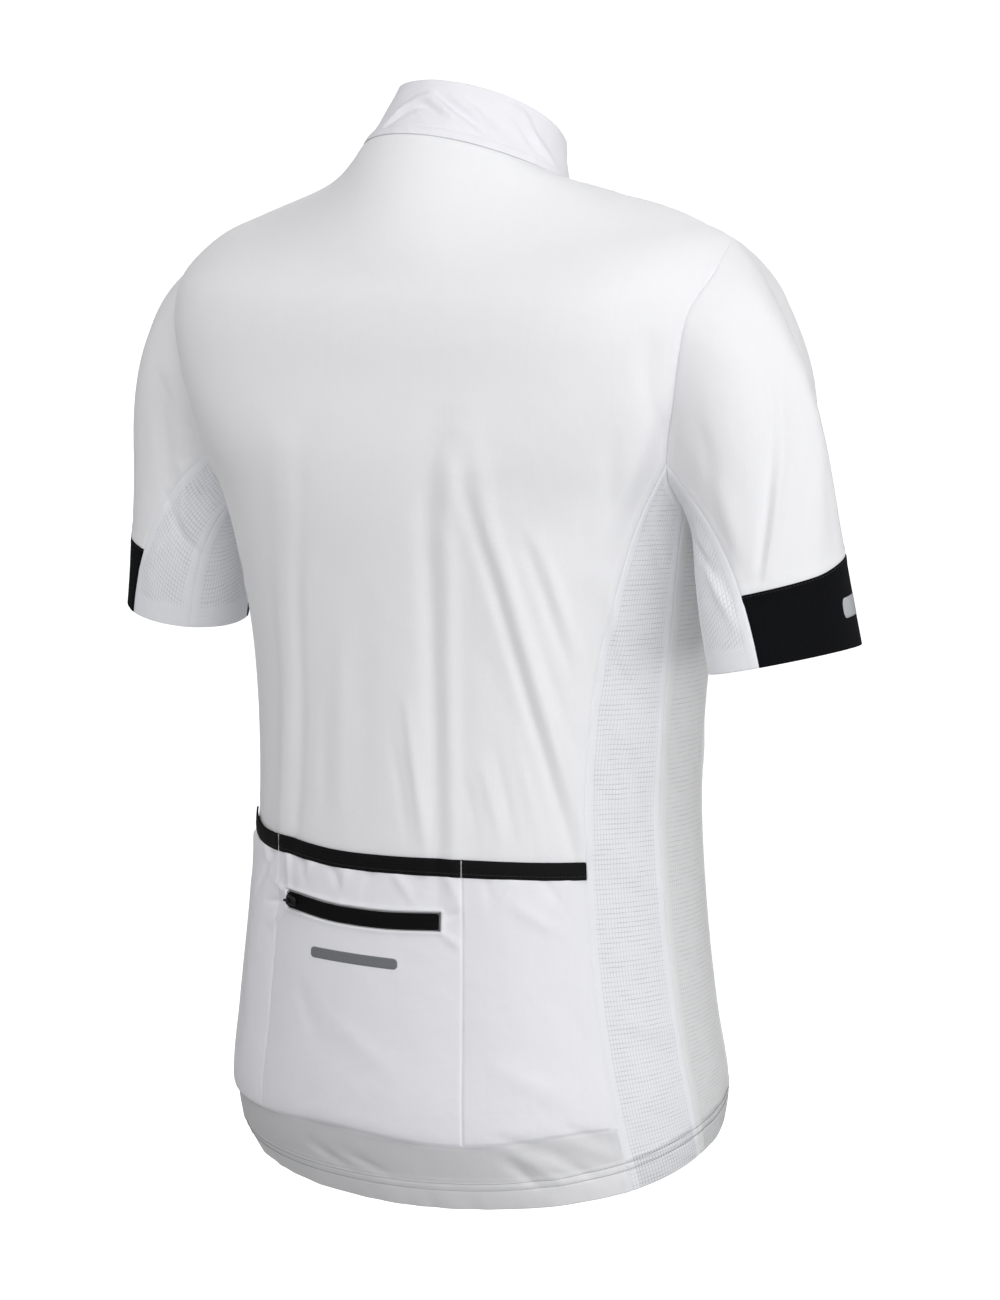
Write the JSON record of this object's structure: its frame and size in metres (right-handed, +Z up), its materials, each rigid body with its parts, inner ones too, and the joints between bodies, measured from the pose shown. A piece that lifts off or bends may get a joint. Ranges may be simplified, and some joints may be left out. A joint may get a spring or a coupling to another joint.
{
  "type": "cycling jersey",
  "caption": "Short-sleeved cycling jersey in its worn shape, hollow, with stand collar, zipped front, mesh sides and back pockets.",
  "frame": {"origin": "middle of the wearer's neck at the height of the collar seam on the back, where neck and shoulders carry the jersey", "axes": "+Z up, +X to the wearer's left, -Y the way the wearer faces"},
  "size_m": [0.6222, 0.2545, 0.7468],
  "materials": {
    "white_knit": "smooth white polyester knit with a slight sheen",
    "white_mesh": "white polyester mesh knit in fine rows of small holes",
    "black_knit": "matt black stretch knit",
    "black_elastic": "black ribbed elastic",
    "zip_tape": "black woven zip tape with coil teeth",
    "dark_metal": "dark lacquered metal, half gloss"
  },
  "bodies": {
    "garment": {"back_panel": "white_knit", "front_left": "white_knit", "front_right": "white_knit", "sleeve_left": "white_knit", "sleeve_right": "white_knit", "collar": "white_knit", "pocket": "white_knit", "side_back_left": "white_mesh", "side_back_right": "white_mesh", "side_front_left": "white_mesh", "side_front_right": "white_mesh", "undersleeve_back_left": "white_mesh", "undersleeve_back_right": "white_mesh", "undersleeve_front_left": "white_mesh", "undersleeve_front_right": "white_mesh", "cuff_left": "black_knit", "cuff_right": "black_knit", "pocket_trim": "black_elastic", "pocket_zip_tape": "zip_tape", "front_zip_tape": "zip_tape", "pocket_zip_slider": "dark_metal", "front_zip_slider": "dark_metal"},
    "pocket_pull": {"pocket_zip_tab": "dark_metal"},
    "front_pull": {"front_zip_tab": "dark_metal"}
  },
  "joints": [
    {"name": "pocket_pull_hinge", "type": "hinge", "parent": "garment", "child": "pocket_pull", "pos_m": [0.07311, 0.11453, -0.51546], "axis": [0.0643, 0.0314, -0.9974], "range_deg": [0, 165]},
    {"name": "front_pull_hinge", "type": "hinge", "parent": "garment", "child": "front_pull", "pos_m": [0, -0.05939, -0.02906], "axis": [-1, 0, 0], "range_deg": [-8, 150]}
  ]
}
